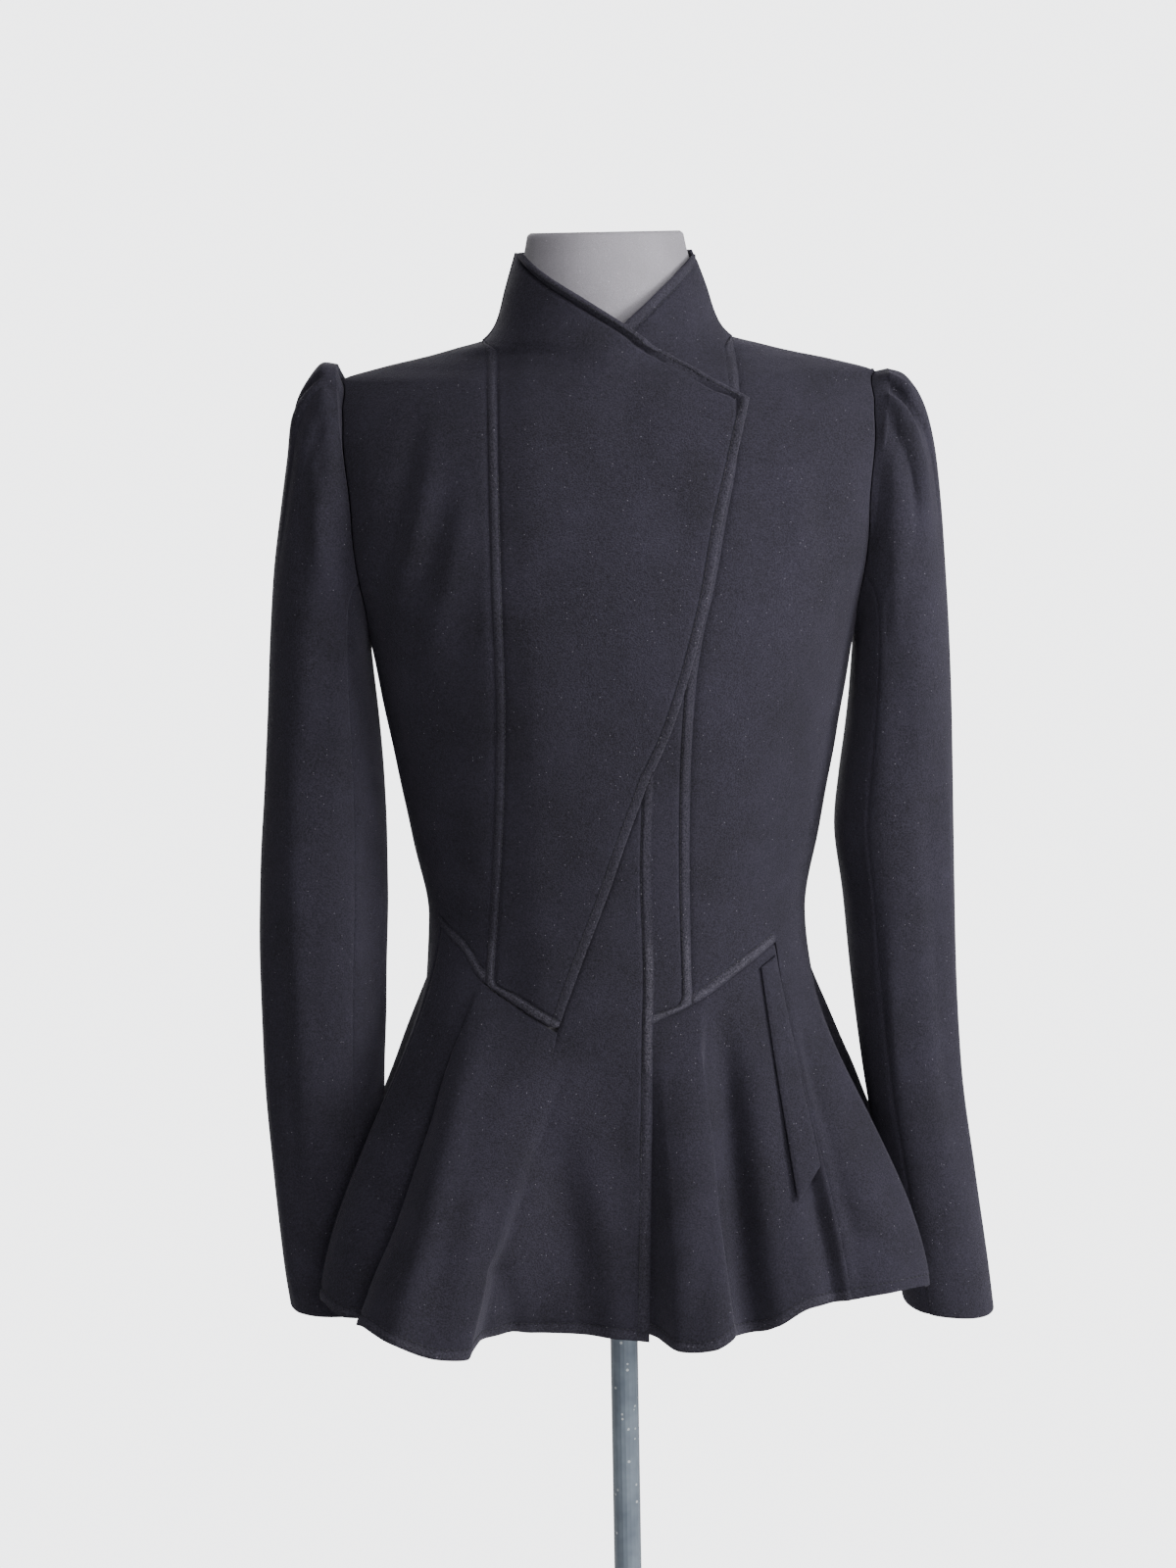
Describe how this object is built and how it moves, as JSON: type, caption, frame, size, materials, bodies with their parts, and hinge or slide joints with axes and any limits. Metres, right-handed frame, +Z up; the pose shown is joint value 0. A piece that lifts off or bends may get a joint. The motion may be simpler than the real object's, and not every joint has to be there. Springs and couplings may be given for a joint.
{
  "type": "peplum coat on dress form",
  "caption": "women's fitted wool coat with a wrapped collar, puffed sleeve caps and a flared pleated peplum, on a limbless dress form with a pole and round base",
  "frame": {"origin": "middle of the part's box on the floor, under the base plate", "axes": "+Z up, the coat's front faces -Y, the wearer's left is towards +X"},
  "size_m": [0.5218, 0.3562, 1.48],
  "materials": {
    "wool": "milled wool with a short nap, matt black",
    "form_jersey": "light grey cotton jersey",
    "pole_paint": "worn blue-grey paint",
    "base_paint": "satin dark grey paint"
  },
  "bodies": {
    "root": {"front_centre_right": "wool", "front_centre_left": "wool", "front_side_right": "wool", "front_side_left": "wool", "back_side_right": "wool", "back_side_left": "wool", "back_centre_right": "wool", "back_centre_left": "wool", "collar_back": "wool", "skirt_front_right": "wool", "skirt_front_left": "wool", "pocket_welt_left": "wool", "sleeve_upper_right": "wool", "sleeve_under_right": "wool", "sleeve_upper_left": "wool", "sleeve_under_left": "wool", "dress_form": "form_jersey", "pole": "pole_paint", "base": "base_paint"}
  },
  "joints": []
}
